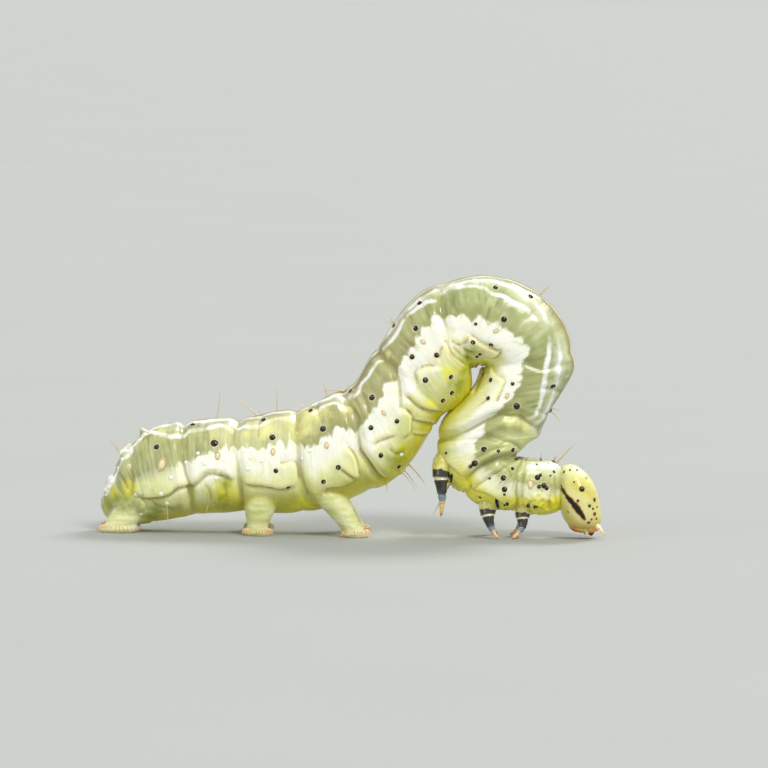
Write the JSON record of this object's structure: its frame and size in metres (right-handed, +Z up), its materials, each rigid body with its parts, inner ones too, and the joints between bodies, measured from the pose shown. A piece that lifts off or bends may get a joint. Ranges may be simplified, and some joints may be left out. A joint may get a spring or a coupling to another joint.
{
  "type": "golden twin-spot moth larva model",
  "caption": "Life-size still model of a pale green semilooper larva in mid-loop, standing on its true legs and prolegs, with its hump raised over the thorax.",
  "frame": {"origin": "middle of the model's box, on the floor that its feet stand on", "axes": "+X towards the head, +Y towards the larva's left side, +Z up"},
  "size_m": [0.018, 0.0034, 0.0095],
  "materials": {
    "skin": "satin, translucent",
    "head_shell": "glossy",
    "leg_shell": "glossy"
  },
  "bodies": {
    "root": {"head": "head_shell", "prothorax": "skin", "mesothorax": "skin", "metathorax": "skin", "abdomen_1": "skin", "abdomen_2": "skin", "abdomen_3": "skin", "abdomen_4": "skin", "abdomen_5": "skin", "abdomen_6": "skin", "abdomen_7": "skin", "abdomen_8": "skin", "abdomen_9": "skin", "abdomen_10": "skin", "leg_1_left": "leg_shell", "leg_1_right": "leg_shell", "leg_2_left": "leg_shell", "leg_2_right": "leg_shell", "leg_3_left": "leg_shell", "leg_3_right": "leg_shell", "proleg_5_left": "skin", "proleg_5_right": "skin", "proleg_6_left": "skin", "proleg_6_right": "skin", "anal_proleg_left": "skin", "anal_proleg_right": "skin"}
  },
  "joints": []
}
